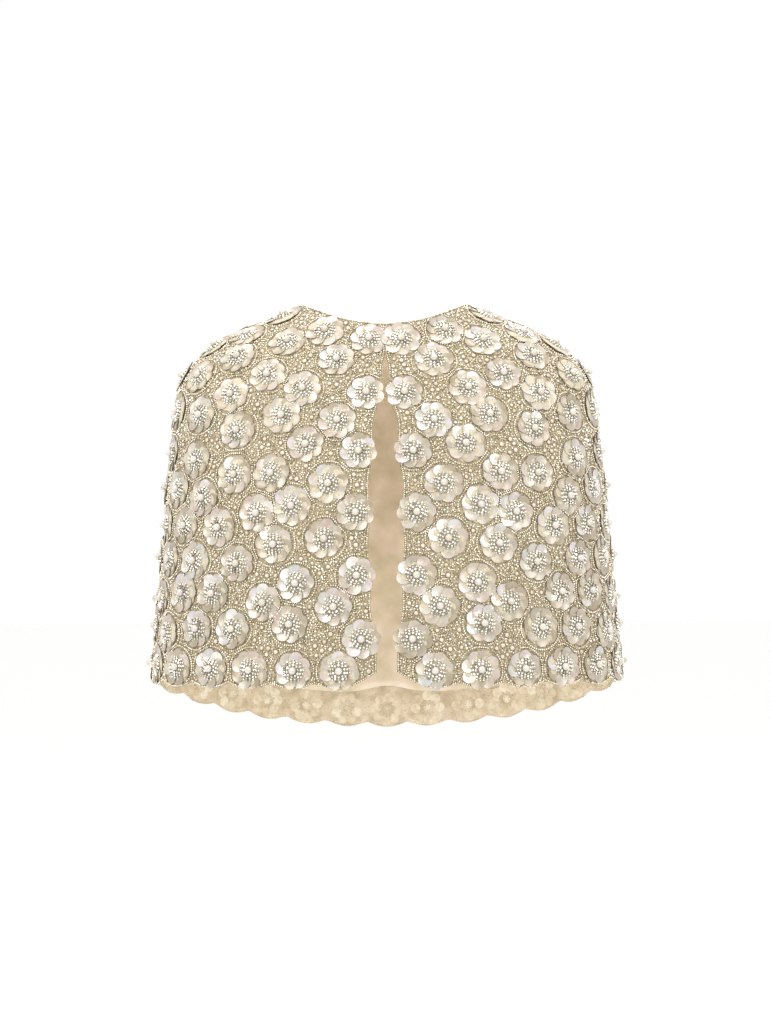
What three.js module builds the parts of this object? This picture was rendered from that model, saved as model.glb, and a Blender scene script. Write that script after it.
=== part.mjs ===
// A beaded evening capelet in the shape it has when worn: two fronts that hook together at the neck,
// a longer back with a scalloped hem, and the lining of the back.
// Millimetres, +Z up. The front faces -Y, the wearer's left is +X, and the origin is the middle of the
// neck opening at the height where the cloth rests on the shoulders.

import * as THREE from "three";

// Walls, and the gap between two pieces that are sewn together.
const CLOTH_WALL = 2;
const LINING_WALL = 1;
const SEAM_GAP = 0.3;

// Sections from the neckline down to the hem, at equal steps along the cloth.
// side and sideZ are the half width and height at the side seam, front and frontZ the depth and height
// at the middle of the front, back and backZ the same behind, and slit half the width of the front slit.
const SECTIONS = [
  { side: 88, sideZ: 20, front: 72, frontZ: -7, back: 64, backZ: -4, slit: -8 },
  { side: 131, sideZ: 1, front: 90, frontZ: -41, back: 91, backZ: -41, slit: 0.2 },
  { side: 178, sideZ: -20, front: 106, frontZ: -76, back: 112, backZ: -82, slit: 5 },
  { side: 214.5, sideZ: -55, front: 120, frontZ: -112, back: 126, backZ: -126, slit: 11.5 },
  { side: 224.5, sideZ: -101, front: 131, frontZ: -150, back: 135, backZ: -171, slit: 14.5 },
  { side: 229.5, sideZ: -146, front: 140, frontZ: -187, back: 142, backZ: -216, slit: 17 },
  { side: 234, sideZ: -193, front: 145, frontZ: -226, back: 148, backZ: -262, slit: 17 },
  { side: 237.5, sideZ: -241, front: 149, frontZ: -264, back: 152, backZ: -307, slit: 16.5 },
  { side: 241, sideZ: -288, front: 153, frontZ: -303, back: 156, backZ: -353, slit: 14.5 },
  { side: 245, sideZ: -335, front: 156, frontZ: -341, back: 160, backZ: -399, slit: 10.8 },
  { side: 247.5, sideZ: -382, front: 159, frontZ: -380, back: 163, backZ: -445, slit: 6.5 },
];

// The back's height changes from the side to its middle as a power of the sine, a lower one at the hem,
// so that the hem stays low further round. The front keeps the power 2.
const NECK_POWER = 2;
const BACK_HEM_POWER = 1.2;

// Soft upright folds that deepen towards the hem: the angle from the side seam, towards the back if
// positive, half the width in degrees, how far the hem stands out, and where the fold starts.
const FOLDS = [
  { angle: -24, spread: 9, out: 3.5, start: 0.55 },
  { angle: 6, spread: 10, out: 4, start: 0.4 },
  { angle: 33, spread: 11, out: -3, start: 0.5 },
  { angle: 62, spread: 12, out: 3.5, start: 0.6 },
];

// Flowers are sewn on in staggered rows, spread evenly, and then moved a little off their even places.
const FLOWER_ROWS = 12;
const FIRST_ROW = 0.055;
const LAST_ROW = 0.955;
const FLOWER_AREA = 1900;
const HEM_FLOWER_STEP = 47;
const EDGE_FLOWER_IN = 14.5;
const NECK_FLOWER_IN = 16.5;
const FLOWER_SPACING = 46;
const SPREAD_TURNS = 40;
const FLOWER_LOOSE = 4.5;
const FLOWER_RADIUS = 18.6;
const FLOWER_RADIUS_MORE = 2.4;
const FLOWER_HEIGHT = 5.5;
const PETALS = 8;

// The hem: one scallop under each flower, and a corner that lifts towards the slit.
const SCALLOP_DEPTH = 6;
const CORNER_LIFT = 17;
const CORNER_REACH = 38;
const CORNER_CURVE = 1.3;

// Where the lining ends, as a share of the way down the back.
const LINING_DOWN = 0.915;

// Spacing of the points along edges and inside the plain faces, and the least gap that is kept to an edge.
const EDGE_STEP = 10;
const PLAIN_STEP = 34;
const EDGE_CLEAR = 6;
const POINT_CLEAR = 3.5;

const QUARTER = Math.PI / 2;
const { clamp, degToRad, lerp } = THREE.MathUtils;

// A column of the sections at a share of the way down, on a smooth curve through the rows.
function column(name, down) {
  const last = SECTIONS.length - 1;
  const place = clamp(down, 0, 1) * last;
  const i = Math.min(Math.floor(place), last - 1);
  const u = place - i;
  const b = SECTIONS[i][name];
  const c = SECTIONS[i + 1][name];
  const a = i > 0 ? SECTIONS[i - 1][name] : 2 * b - c;
  const d = i < last - 1 ? SECTIONS[i + 2][name] : 2 * c - b;
  const curve = (2 * a - 5 * b + 4 * c - d) * u ** 2 + (3 * b - a - 3 * c + d) * u ** 3;
  return (2 * b + (c - a) * u + curve) / 2;
}

// How far the soft folds push the cloth out. Both sides have the same folds.
function foldOut(angle, down) {
  const turned = Math.asin(Math.sin(angle));
  return FOLDS.reduce((sum, fold) => {
    const across = (turned - degToRad(fold.angle)) / degToRad(fold.spread);
    const fall = clamp((down - fold.start) / (1 - fold.start), 0, 1);
    return sum + fold.out * Math.exp(-(across ** 2)) * fall ** 1.5;
  }, 0);
}

// A point on the outer face of the bare cloth. The angle is 0 at the left seam and 90 degrees behind.
function clothPoint(angle, down) {
  const cos = Math.cos(angle);
  const sin = Math.sin(angle);
  const face = sin < 0 ? "front" : "back";
  const sideZ = column("sideZ", down);
  const out = foldOut(angle, down);
  const power = face === "front" ? NECK_POWER : lerp(NECK_POWER, BACK_HEM_POWER, clamp(down, 0, 1));
  return new THREE.Vector3(
    (column("side", down) + out) * cos,
    (column(face, down) + out) * sin,
    sideZ + (column(face + "Z", down) - sideZ) * Math.abs(sin) ** power,
  );
}

// The two directions along the cloth, per radian and per whole way down.
function slopes(angle, down) {
  const step = 0.004;
  const high = Math.min(down + step, 1);
  const low = Math.max(down - step, 0);
  return {
    round: clothPoint(angle + step, down).sub(clothPoint(angle - step, down)).divideScalar(2 * step),
    fall: clothPoint(angle, high).sub(clothPoint(angle, low)).divideScalar(high - low),
  };
}

function outward(angle, down) {
  const { round, fall } = slopes(angle, down);
  return fall.cross(round).normalize();
}

// The place on the cloth that lies a small step away from another place.
function stepped(place, step) {
  const { round, fall } = slopes(place.angle, place.down);
  const rr = round.dot(round);
  const rf = round.dot(fall);
  const ff = fall.dot(fall);
  const r = step.dot(round);
  const f = step.dot(fall);
  const size = rr * ff - rf * rf;
  return {
    angle: place.angle + (r * ff - f * rf) / size,
    down: place.down + (f * rr - r * rf) / size,
  };
}

// Distances round the left half from the middle of the front, in a table by height and by angle.
const ARC_ROWS = 40;
const ARC_TURNS = 60;
const ARCS = Array.from({ length: ARC_ROWS + 1 }, (_, row) => {
  const arcs = [0];
  for (let i = 0; i < ARC_TURNS; i++) {
    const from = clothPoint((i / ARC_TURNS) * Math.PI - QUARTER, row / ARC_ROWS);
    const to = clothPoint(((i + 1) / ARC_TURNS) * Math.PI - QUARTER, row / ARC_ROWS);
    arcs.push(arcs[i] + from.distanceTo(to));
  }
  return arcs;
});

// Distance round the cloth from the middle of the front, for angles on the left half.
function arcAt(angle, down) {
  const row = clamp(down, 0, 1) * ARC_ROWS;
  const turn = clamp((angle + QUARTER) / Math.PI, 0, 1) * ARC_TURNS;
  const j = Math.min(Math.floor(row), ARC_ROWS - 1);
  const i = Math.min(Math.floor(turn), ARC_TURNS - 1);
  const above = lerp(ARCS[j][i], ARCS[j][i + 1], turn - i);
  const below = lerp(ARCS[j + 1][i], ARCS[j + 1][i + 1], turn - i);
  return lerp(above, below, row - j);
}

// The same distance carried on past the middle of the back, round the wearer's right.
function arcRound(angle, down) {
  return angle <= QUARTER ? arcAt(angle, down) : 2 * arcAt(QUARTER, down) - arcAt(Math.PI - angle, down);
}

// Length of the cloth from the neckline to the hem, from the lengths at the front, side and back.
function lengthOf(across, height) {
  return SECTIONS.slice(1).reduce((sum, row, i) => {
    return sum + Math.hypot(row[across] - SECTIONS[i][across], row[height] - SECTIONS[i][height]);
  }, 0);
}
const SIDE_LENGTH = lengthOf("side", "sideZ");
const FRONT_LENGTH = lengthOf("front", "frontZ");
const BACK_LENGTH = lengthOf("back", "backZ");
function fallLength(angle) {
  const middle = Math.sin(angle) < 0 ? FRONT_LENGTH : BACK_LENGTH;
  return lerp(SIDE_LENGTH, middle, Math.sin(angle) ** 2);
}

// The angle at a distance x from the middle of the front.
function frontAngle(x, down) {
  return -Math.acos(clamp(x / column("side", down), -1, 1));
}

// Half the width of the slit. Its edges wave: in towards each flower beside it, and out between two.
const SLIT_WAVE = 1.2;
function slitHalf(down) {
  const rows = ((down - FIRST_ROW) / (LAST_ROW - FIRST_ROW)) * (FLOWER_ROWS - 1);
  return Math.max(SEAM_GAP / 2, column("slit", down) - SLIT_WAVE * Math.cos(Math.PI * rows));
}

// A number from 0 to 1 that differs from flower to flower.
function vary(index, salt) {
  const wave = Math.sin(index * 127.1 + salt * 311.7) * 43758.5453;
  return wave - Math.floor(wave);
}

// Angles from the first flower of a row to the middle of the back, with equal shares between them.
function rowAngles(down, first, shareOf, eachShare, offset) {
  const turns = 90;
  const shares = [0];
  const angles = [first];
  for (let i = 1; i <= turns; i++) {
    const angle = lerp(first, QUARTER, i / turns);
    const arc = arcAt(angle, down) - arcAt(angles[i - 1], down);
    shares.push(shares[i - 1] + arc * shareOf(angle));
    angles.push(angle);
  }
  const count = Math.round(shares[turns] / eachShare - 0.5);
  const step = shares[turns] / (count + 0.5);
  return Array.from({ length: count + 1 }, (_, n) => {
    const target = Math.min((n + offset) * step, shares[turns]);
    const i = clamp(shares.findIndex((share) => share >= target - 1e-9), 1, turns);
    return lerp(angles[i - 1], angles[i], (target - shares[i - 1]) / (shares[i] - shares[i - 1]));
  });
}

// The flowers of the wearer's left half: rows are staggered, and the hem row and the slit's flowers keep
// their places.
function startingFlowers() {
  const flowers = [];
  const rowShare = (LAST_ROW - FIRST_ROW) / (FLOWER_ROWS - 1);
  for (let row = 0; row < FLOWER_ROWS; row++) {
    const down = lerp(FIRST_ROW, LAST_ROW, row / (FLOWER_ROWS - 1));
    const x = Math.max(NECK_FLOWER_IN, slitHalf(down) + EDGE_FLOWER_IN);
    const hem = row === FLOWER_ROWS - 1;
    const offset = row % 2 ? 0.5 : 0;
    const shareOf = hem ? () => 1 : (angle) => fallLength(angle) * rowShare;
    const angles = rowAngles(down, frontAngle(x, down), shareOf, hem ? HEM_FLOWER_STEP : FLOWER_AREA, offset);
    angles.forEach((angle, n) => {
      const atSlit = offset === 0 && n === 0;
      const behind = offset > 0 && n === angles.length - 1;
      flowers.push({ angle, down, still: hem || atSlit || behind });
    });
  }
  return flowers;
}

// Flowers that are too close push each other apart along the cloth, also across the middle of the back.
function spreadFlowers(flowers) {
  for (let turn = 0; turn < SPREAD_TURNS; turn++) {
    const at = flowers.map((flower) => clothPoint(flower.angle, flower.down));
    const moves = flowers.map((flower, i) => {
      const move = new THREE.Vector3();
      at.forEach((other, j) => {
        const seen = [other, new THREE.Vector3(-other.x, other.y, other.z)];
        seen.forEach((near, side) => {
          const away = at[i].clone().sub(near);
          const far = away.length();
          if ((side === 0 && i === j) || far > FLOWER_SPACING || far < 1) return;
          move.addScaledVector(away, (0.3 * (FLOWER_SPACING - far)) / far);
        });
      });
      return move;
    });
    flowers.forEach((flower, i) => moveFlower(flower, moves[i]));
  }
  return flowers;
}

// Moves a flower by a step along the cloth, but not past the neck's row, the hem's, the slit's flowers or
// the middle of the back.
function moveFlower(flower, step) {
  if (flower.still) return;
  const next = stepped(flower, step);
  const x = Math.max(NECK_FLOWER_IN, slitHalf(next.down) + EDGE_FLOWER_IN);
  flower.down = clamp(next.down, FIRST_ROW, LAST_ROW);
  flower.angle = clamp(next.angle, frontAngle(x, flower.down), QUARTER);
}

// Moves flowers off their even places by up to FLOWER_LOOSE each way.
function loosenFlowers(flowers) {
  flowers.forEach((flower, i) => {
    const { round, fall } = slopes(flower.angle, flower.down);
    const step = round.setLength(FLOWER_LOOSE * (2 * vary(i, 4) - 1));
    moveFlower(flower, step.add(fall.setLength(FLOWER_LOOSE * (2 * vary(i, 5) - 1))));
  });
  return flowers;
}

// All flowers, with the left half's mirrored to the right.
function allFlowers() {
  const half = loosenFlowers(spreadFlowers(startingFlowers()));
  const both = [...half, ...half.filter((f) => f.angle < QUARTER - 1e-6).map(mirrored)];
  return both.map((flower, i) => ({
    angle: flower.angle,
    down: flower.down,
    radius: FLOWER_RADIUS + FLOWER_RADIUS_MORE * vary(i, 1),
    turn: vary(i, 2) * ((2 * Math.PI) / PETALS),
    at: clothPoint(flower.angle, flower.down),
  }));
}

function mirrored(flower) {
  return { angle: Math.PI - flower.angle, down: flower.down };
}

const FLOWERS = allFlowers();

// How far the flowers lift the outer face at a point of the bare cloth.
function raised(point) {
  return FLOWERS.reduce((high, flower) => {
    const across = point.distanceTo(flower.at) / flower.radius;
    return across < 1 ? Math.max(high, FLOWER_HEIGHT * (1 - across ** 2)) : high;
  }, 0);
}

// The share of the way down at which the cloth ends. Scallops hang in step with the hem's flowers.
const HEM_START = Math.max(NECK_FLOWER_IN, slitHalf(LAST_ROW) + EDGE_FLOWER_IN);
function hemDown(angle) {
  const turned = Math.sin(angle) < 0 || angle <= QUARTER ? angle : Math.PI - angle;
  const arc = arcAt(turned, LAST_ROW);
  const start = arcAt(frontAngle(HEM_START, LAST_ROW), LAST_ROW);
  const whole = arcAt(QUARTER, LAST_ROW) - start;
  const step = whole / (Math.round(whole / HEM_FLOWER_STEP - 0.5) + 0.5);
  const along = (arc - start) / step - 0.5;
  const scallop = SCALLOP_DEPTH * (1 - Math.cos(Math.PI * (along - Math.round(along))));
  const fromSlit = clamp(1 - (arc - slitHalf(1)) / CORNER_REACH, 0, 1);
  const corner = CORNER_LIFT * fromSlit ** CORNER_CURVE;
  return 1 - Math.max(scallop * (1 - fromSlit), corner) / fallLength(angle);
}

// A run of places at about equal steps, without its last one.
function run(length, place) {
  const count = Math.round(length / EDGE_STEP);
  return Array.from({ length: count }, (_, i) => place(i / count));
}

// The outline of a panel between two angles that may depend on the height: neck, seam, hem and back up.
function outlineOf(panel) {
  const top = arcRound(panel.to(0), 0) - arcRound(panel.from(0), 0);
  const bottom = arcRound(panel.to(1), 1) - arcRound(panel.from(1), 1);
  const hemFrom = hemDown(panel.from(1));
  const hemTo = hemDown(panel.to(1));
  const leftLength = fallLength(panel.from(0.5));
  const rightLength = fallLength(panel.to(0.5));
  return [
    ...run(leftLength, (s) => ({ down: s * hemFrom, angle: panel.from(s * hemFrom) })),
    ...run(bottom, (s) => {
      const angle = lerp(panel.from(hemFrom), panel.to(hemTo), s);
      return { angle, down: hemDown(angle) };
    }),
    ...run(rightLength, (s) => ({ down: (1 - s) * hemTo, angle: panel.to((1 - s) * hemTo) })),
    ...run(top, (s) => ({ down: 0, angle: lerp(panel.to(0), panel.from(0), s) })),
  ];
}

// Lays a panel flat, near its real shape, so that its points can be joined to triangles in the plane.
const NECK_ROUND = 90;
function flat(panel, place) {
  const reach = NECK_ROUND + place.down * SIDE_LENGTH;
  const arc = arcRound(place.angle, place.down) - arcRound(panel.middle, place.down);
  return { x: reach * Math.sin(arc / reach), y: -reach * Math.cos(arc / reach) };
}

function isInside(loop, p) {
  return loop.reduce((inside, a, i) => {
    const b = loop[(i + 1) % loop.length];
    const crosses = a.y > p.y !== b.y > p.y && p.x < ((b.x - a.x) * (p.y - a.y)) / (b.y - a.y) + a.x;
    return crosses ? !inside : inside;
  }, false);
}

function distanceToLoop(loop, p) {
  return loop.reduce((near, a, i) => {
    const b = loop[(i + 1) % loop.length];
    const along = (p.x - a.x) * (b.x - a.x) + (p.y - a.y) * (b.y - a.y);
    const s = clamp(along / ((b.x - a.x) ** 2 + (b.y - a.y) ** 2), 0, 1);
    return Math.min(near, Math.hypot(p.x - lerp(a.x, b.x, s), p.y - lerp(a.y, b.y, s)));
  }, Infinity);
}

// Triangles between points of the plane, so that no point lies in another triangle's circle.
// Points are added from left to right, and triangles that lie behind them are done.
function joined(points) {
  const far = 1e5;
  const all = [...points, { x: -far, y: -far }, { x: far, y: -far }, { x: 0, y: far }];
  const withCircle = (a, b, c) => {
    const bx = all[b].x - all[a].x;
    const by = all[b].y - all[a].y;
    const cx = all[c].x - all[a].x;
    const cy = all[c].y - all[a].y;
    const d = 2 * (bx * cy - by * cx);
    const ux = (cy * (bx * bx + by * by) - by * (cx * cx + cy * cy)) / d;
    const uy = (bx * (cx * cx + cy * cy) - cx * (bx * bx + by * by)) / d;
    const corners = d > 0 ? [a, b, c] : [a, c, b];
    return { corners, x: all[a].x + ux, y: all[a].y + uy, r2: ux * ux + uy * uy };
  };
  const done = [];
  let open = [withCircle(points.length, points.length + 1, points.length + 2)];
  const order = points.map((_, i) => i).sort((a, b) => points[a].x - points[b].x);
  for (const i of order) {
    const p = points[i];
    const hole = new Map();
    open = open.filter((triangle) => {
      const dx = p.x - triangle.x;
      if (dx > 0 && dx * dx > triangle.r2) {
        done.push(triangle);
        return false;
      }
      if (dx * dx + (p.y - triangle.y) ** 2 > triangle.r2) return true;
      triangle.corners.forEach((a, k) => {
        const b = triangle.corners[(k + 1) % 3];
        const other = `${b},${a}`;
        if (hole.has(other)) hole.delete(other);
        else hole.set(`${a},${b}`, [a, b]);
      });
      return false;
    });
    for (const [a, b] of hole.values()) open.push(withCircle(a, b, i));
  }
  return [...done, ...open].map((t) => t.corners).filter((t) => t.every((c) => c < points.length));
}

// The outline's points and those inside it that keep clear of it, with the triangles between them.
function meshOf(panel, outline, inside) {
  const loop = outline.map((place) => flat(panel, place));
  const places = [...outline];
  const points = [...loop];
  inside.forEach((place) => {
    const p = flat(panel, place);
    if (!isInside(loop, p) || distanceToLoop(loop, p) < EDGE_CLEAR) return;
    if (points.some((q) => Math.hypot(p.x - q.x, p.y - q.y) < POINT_CLEAR)) return;
    places.push(place);
    points.push(p);
  });
  const triangles = joined(points).filter((corners) => {
    const [a, b, c] = corners.map((n) => points[n]);
    return isInside(loop, { x: (a.x + b.x + c.x) / 3, y: (a.y + b.y + c.y) / 3 });
  });
  return { places, triangles };
}

// A flower's points: its middle, a ring where the petals are high, and the petals' outline.
function flowerPlaces(flower) {
  const { round, fall } = slopes(flower.angle, flower.down);
  const east = round.clone().normalize();
  const south = fall.clone().addScaledVector(east, -fall.dot(east)).normalize();
  const ring = (count, share) =>
    Array.from({ length: count }, (_, i) => {
      const turn = flower.turn + (i / count) * 2 * Math.PI;
      const reach = flower.radius * share(i);
      const step = east.clone().multiplyScalar(reach * Math.cos(turn));
      return stepped(flower, step.addScaledVector(south, reach * Math.sin(turn)));
    });
  return [
    { angle: flower.angle, down: flower.down },
    ...ring(PETALS, () => 0.58),
    ...ring(2 * PETALS, (i) => (i % 2 ? 0.86 : 1)),
  ];
}

// Widely spaced places over a panel, for a face with nothing on it.
function plainPlaces(panel, rows) {
  return rows.flatMap((down) => {
    const from = panel.from(down);
    const to = panel.to(down);
    const count = Math.round((arcRound(to, down) - arcRound(from, down)) / PLAIN_STEP);
    return Array.from({ length: Math.max(count - 1, 0) }, (_, i) => ({
      down,
      angle: lerp(from, to, (i + 1) / count),
    }));
  });
}

function evenRows(from, to, count) {
  return Array.from({ length: count }, (_, i) => lerp(from, to, (i + 1) / (count + 1)));
}

// A place on the cloth, moved out by a distance, or in if that is negative.
function movedOut(place, distance) {
  return clothPoint(place.angle, place.down).addScaledVector(outward(place.angle, place.down), distance);
}

// Edges that belong to one triangle only.
function looseEdges(triangles) {
  const edges = new Map();
  triangles.forEach((corners) =>
    corners.forEach((a, k) => {
      const b = corners[(k + 1) % 3];
      if (!edges.delete(`${b},${a}`)) edges.set(`${a},${b}`, [a, b]);
    }),
  );
  return [...edges.values()];
}

// A closed wall between an outer and an inner face, whose edge points have the same numbers.
function wall(outer, outerTriangles, inner, innerTriangles) {
  const n = outer.length;
  const rim = looseEdges(outerTriangles).flatMap(([a, b]) => [
    [b, a, a + n],
    [b, a + n, b + n],
  ]);
  const turned = innerTriangles.map(([a, b, c]) => [a + n, c + n, b + n]);
  const geometry = new THREE.BufferGeometry().setFromPoints([...outer, ...inner]);
  geometry.setIndex([...outerTriangles, ...turned, ...rim].flat());
  geometry.computeVertexNormals();
  return geometry;
}

// A beaded panel: flowers raised on its outer face, and a plain inside.
function beadedPanel(panel, plainRows, extraPlaces) {
  const outline = outlineOf(panel);
  const flowered = meshOf(panel, outline, FLOWERS.flatMap(flowerPlaces));
  const plain = meshOf(panel, outline, [...extraPlaces, ...plainPlaces(panel, plainRows)]);
  const outer = flowered.places.map((place) => {
    return movedOut(place, raised(clothPoint(place.angle, place.down)));
  });
  const inner = plain.places.map((place) => movedOut(place, -CLOTH_WALL));
  return { geometry: wall(outer, flowered.triangles, inner, plain.triangles), plain };
}

// The lining follows the inside of the back, down to its own hem.
function liningGeometry(plain) {
  const kept = plain.triangles.filter((t) => t.every((n) => plain.places[n].down <= LINING_DOWN + 1e-6));
  const used = [...new Set(kept.flat())];
  const renumber = new Map(used.map((n, i) => [n, i]));
  const triangles = kept.map((t) => t.map((n) => renumber.get(n)));
  const face = (depth) => used.map((n) => movedOut(plain.places[n], -depth));
  const outside = CLOTH_WALL + SEAM_GAP;
  return wall(face(outside), triangles, face(outside + LINING_WALL), triangles);
}

// A copy of a geometry on the other side of the body.
function mirrorGeometry(geometry) {
  const copy = geometry.clone().scale(-1, 1, 1);
  const index = copy.getIndex().array;
  for (let i = 0; i < index.length; i += 3) [index[i + 1], index[i + 2]] = [index[i + 2], index[i + 1]];
  copy.computeVertexNormals();
  return copy;
}

// The neck's hook and eye: wires bent in a plane that lies behind the cloth.
// across is along the neckline, fall down the cloth, and inward away from it.
const WIRE = 1;
const WIRE_SIDES = 6;
const CLASP_DOWN = 0.055;
const CLASP_IN = 1.4;
const HOOK_BEND = 2.8;
function wire(points) {
  const curve = new THREE.CatmullRomCurve3(points.map((point) => new THREE.Vector3(...point)));
  const circle = Array.from({ length: WIRE_SIDES }, (_, i) => {
    const turn = (i / WIRE_SIDES) * 2 * Math.PI;
    return new THREE.Vector2((WIRE / 2) * Math.cos(turn), (WIRE / 2) * Math.sin(turn));
  });
  return new THREE.ExtrudeGeometry(new THREE.Shape(circle), {
    steps: 2 * points.length,
    extrudePath: curve,
    bevelEnabled: false,
  });
}

// Both ends of the wire curl into open loops that are sewn down, and the middle is the hook or the eye.
function clasp(direction, middle) {
  const loop = [
    [7.2, 4.4, 0],
    [9.4, 4.2, 0],
    [10, 2.8, 0],
    [8.6, 1.6, 0],
  ];
  const first = loop.map(([across, fall, inward]) => [direction * across, fall, inward]);
  const second = first.map(([across, fall, inward]) => [across, -fall, inward]).reverse();
  return wire([...first, ...middle, ...second]);
}

function hookGeometry() {
  return clasp(-1, [
    [-5, 0.9, 0],
    [1.6, 0.9, 0],
    [2.9, 0.9, HOOK_BEND / 2],
    [1.6, 0.9, HOOK_BEND],
    [-1, 0.75, HOOK_BEND],
    [-1.7, 0, HOOK_BEND],
    [-1, -0.75, HOOK_BEND],
    [1.6, -0.9, HOOK_BEND],
    [2.9, -0.9, HOOK_BEND / 2],
    [1.6, -0.9, 0],
    [-5, -0.9, 0],
  ]);
}

function eyeGeometry() {
  return clasp(1, [
    [5.6, 2.2, HOOK_BEND / 2],
    [2.6, 2.6, HOOK_BEND / 2],
    [0.9, 1.8, HOOK_BEND / 2],
    [0.4, 0, HOOK_BEND / 2],
    [0.9, -1.8, HOOK_BEND / 2],
    [2.6, -2.6, HOOK_BEND / 2],
    [5.6, -2.2, HOOK_BEND / 2],
  ]);
}

// Holds the clasp's plane just inside the cloth at the middle of the neckline.
function claspPlace() {
  const holder = new THREE.Group();
  const inward = outward(-QUARTER, CLASP_DOWN).negate();
  const across = new THREE.Vector3(1, 0, 0);
  const fall = new THREE.Vector3().crossVectors(inward, across);
  holder.matrix.makeBasis(across, fall, inward);
  holder.matrix.decompose(holder.position, holder.quaternion, holder.scale);
  holder.position.copy(movedOut({ angle: -QUARTER, down: CLASP_DOWN }, -CLOTH_WALL - CLASP_IN));
  return holder;
}

const beadedCloth = new THREE.MeshStandardMaterial({ color: 0xcdbb94, roughness: 0.55, metalness: 0 });
const liningCloth = new THREE.MeshStandardMaterial({ color: 0xd9c3a1, roughness: 0.8, metalness: 0 });
const claspMetal = new THREE.MeshStandardMaterial({ color: 0xc9c4b8, roughness: 0.3, metalness: 1 });

function named(name, geometry, material) {
  const mesh = new THREE.Mesh(geometry, material);
  mesh.name = name;
  return mesh;
}

const seamTurn = (down) => SEAM_GAP / 2 / column("back", down);
const frontPanel = {
  from: (down) => frontAngle(slitHalf(down), down),
  to: (down) => -seamTurn(down),
  middle: -QUARTER / 2,
};
const backPanel = {
  from: (down) => seamTurn(down),
  to: (down) => Math.PI - seamTurn(down),
  middle: QUARTER,
};

// The lining's hem is a row of close points on the inside of the back, so that the lining can end there.
function liningHemPlaces() {
  const from = backPanel.from(LINING_DOWN);
  const to = backPanel.to(LINING_DOWN);
  const length = arcRound(to, LINING_DOWN) - arcRound(from, LINING_DOWN);
  return run(length, (s) => ({ down: LINING_DOWN, angle: lerp(from, to, s) }));
}

const capelet = new THREE.Group();
const front = beadedPanel(frontPanel, evenRows(0, 1, 12), []);
const backRows = [...evenRows(0, LINING_DOWN, 11), lerp(LINING_DOWN, 1, 0.45)];
const back = beadedPanel(backPanel, backRows, liningHemPlaces());
capelet.add(named("front_left", front.geometry, beadedCloth));
capelet.add(named("front_right", mirrorGeometry(front.geometry), beadedCloth));
capelet.add(named("back", back.geometry, beadedCloth));
capelet.add(named("back_lining", liningGeometry(back.plain), liningCloth));
const neck = claspPlace();
neck.add(named("neck_hook", hookGeometry(), claspMetal));
neck.add(named("neck_eye", eyeGeometry(), claspMetal));
capelet.add(neck);

export default capelet;
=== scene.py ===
"""A beaded evening capelet in worn form: sequin flowers, crystals and seed beads sewn on tulle, with a
plain nude lining behind the front slit. The cut is worked out in millimetres, as a maker would write it,
and the meshes are in metres."""

import math

import bpy
import numpy as np
from mathutils import Euler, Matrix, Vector


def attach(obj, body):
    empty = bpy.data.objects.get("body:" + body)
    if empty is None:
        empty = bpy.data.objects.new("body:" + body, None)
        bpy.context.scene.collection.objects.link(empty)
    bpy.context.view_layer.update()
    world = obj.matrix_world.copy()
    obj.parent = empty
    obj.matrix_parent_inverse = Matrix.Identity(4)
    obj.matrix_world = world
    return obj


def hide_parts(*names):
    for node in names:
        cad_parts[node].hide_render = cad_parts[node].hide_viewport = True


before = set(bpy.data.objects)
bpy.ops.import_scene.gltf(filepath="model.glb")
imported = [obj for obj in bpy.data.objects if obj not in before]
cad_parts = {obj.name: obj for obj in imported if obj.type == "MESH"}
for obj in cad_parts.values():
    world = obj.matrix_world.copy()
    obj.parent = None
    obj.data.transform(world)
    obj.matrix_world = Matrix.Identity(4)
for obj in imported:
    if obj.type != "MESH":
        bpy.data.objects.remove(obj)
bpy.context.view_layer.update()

MM = 0.001
TURN = 2 * math.pi
QUARTER = math.pi / 2
chance = np.random.default_rng(11)

# The cloth, its lining and the seams.
CLOTH_WALL = 2.0
LINING_WALL = 1.0
SEAM_GAP = 0.3
LINING_DOWN = 0.915
LINING_ARCH = 9.0
LINING_ARCH_WIDTH = 30.0
LINING_RIPPLE = 3.4

# How finely the walls are drawn: quads across each panel and down it, and the same for the lining.
SHELL_ACROSS = {"front_left": 56, "front_right": 56, "back": 106}
SHELL_ALONG = 78
LINING_ACROSS = 120
LINING_ALONG = 56

# Sections from the neckline to the hem, at equal steps along the cloth: half width and height at the side,
# depth and height at the middle of the front and of the back, and half the width of the slit.
COLUMNS = ("side", "side_z", "front", "front_z", "back", "back_z", "slit")
SECTIONS = np.array([
    (88, 20, 72, -7, 64, -4, -8),
    (131, 1, 90, -41, 91, -41, 0.2),
    (178, -20, 106, -76, 112, -82, 5),
    (214.5, -55, 120, -112, 126, -126, 11.5),
    (224.5, -101, 131, -150, 135, -171, 14.5),
    (229.5, -146, 140, -187, 142, -216, 17),
    (234, -193, 145, -226, 148, -262, 17),
    (237.5, -241, 149, -264, 152, -307, 16.5),
    (241, -288, 153, -303, 156, -353, 14.5),
    (245, -335, 156, -341, 160, -399, 10.8),
    (247.5, -382, 159, -380, 163, -445, 6.5),
], dtype=float)

# The height changes round the body as a power of the sine: a lower one at the back's hem, which stays low
# further round.
NECK_POWER = 2
BACK_HEM_POWER = 1.2

# Soft upright folds: angle from the side seam towards the back, half width in degrees, how far the hem
# stands out, and where the fold starts.
FOLDS = ((-24, 9, 3.5, 0.55), (6, 10, 4, 0.4), (33, 11, -3, 0.5), (62, 12, 3.5, 0.6))

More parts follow.
